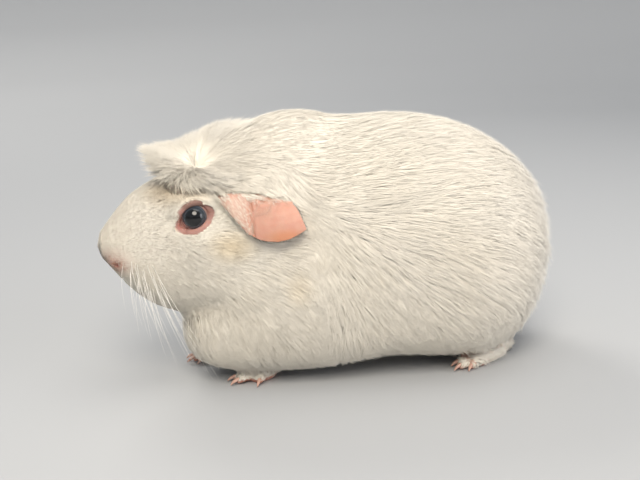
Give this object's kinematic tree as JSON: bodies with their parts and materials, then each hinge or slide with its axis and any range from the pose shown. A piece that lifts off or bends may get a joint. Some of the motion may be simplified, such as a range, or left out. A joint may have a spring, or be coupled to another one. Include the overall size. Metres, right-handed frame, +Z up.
{
  "type": "guinea pig model",
  "caption": "Life-size still model of a cream-white crested guinea pig crouched at rest, with drooping pink ears, dark eyes and a short smooth coat.",
  "frame": {"origin": "on the floor, under the middle of the animal's length and width", "axes": "+Z up, nose towards -X, rump towards +X, the animal's left side towards -Y"},
  "size_m": [0.189, 0.0938, 0.1088],
  "materials": {
    "coat": "short, dense, slightly yellowish white fur that lies flat",
    "ear_skin": "thin bare pink skin, matt with a faint sheen",
    "foot_skin": "bare brownish pink skin",
    "eye": "wet, very dark eye with a slate rim",
    "claw": "translucent horn, satin"
  },
  "bodies": {
    "root": {"head": "coat", "neck": "coat", "chest": "coat", "trunk": "coat", "crest": "coat", "ear_left": "ear_skin", "eye_left": "eye", "front_leg_left": "foot_skin", "hind_leg_left": "foot_skin", "front_claw_1_left": "claw", "front_claw_2_left": "claw", "front_claw_3_left": "claw", "front_claw_4_left": "claw", "hind_claw_1_left": "claw", "hind_claw_2_left": "claw", "hind_claw_3_left": "claw", "ear_right": "ear_skin", "eye_right": "eye", "front_leg_right": "foot_skin", "hind_leg_right": "foot_skin", "front_claw_1_right": "claw", "front_claw_2_right": "claw", "front_claw_3_right": "claw", "front_claw_4_right": "claw", "hind_claw_1_right": "claw", "hind_claw_2_right": "claw", "hind_claw_3_right": "claw"}
  },
  "joints": []
}
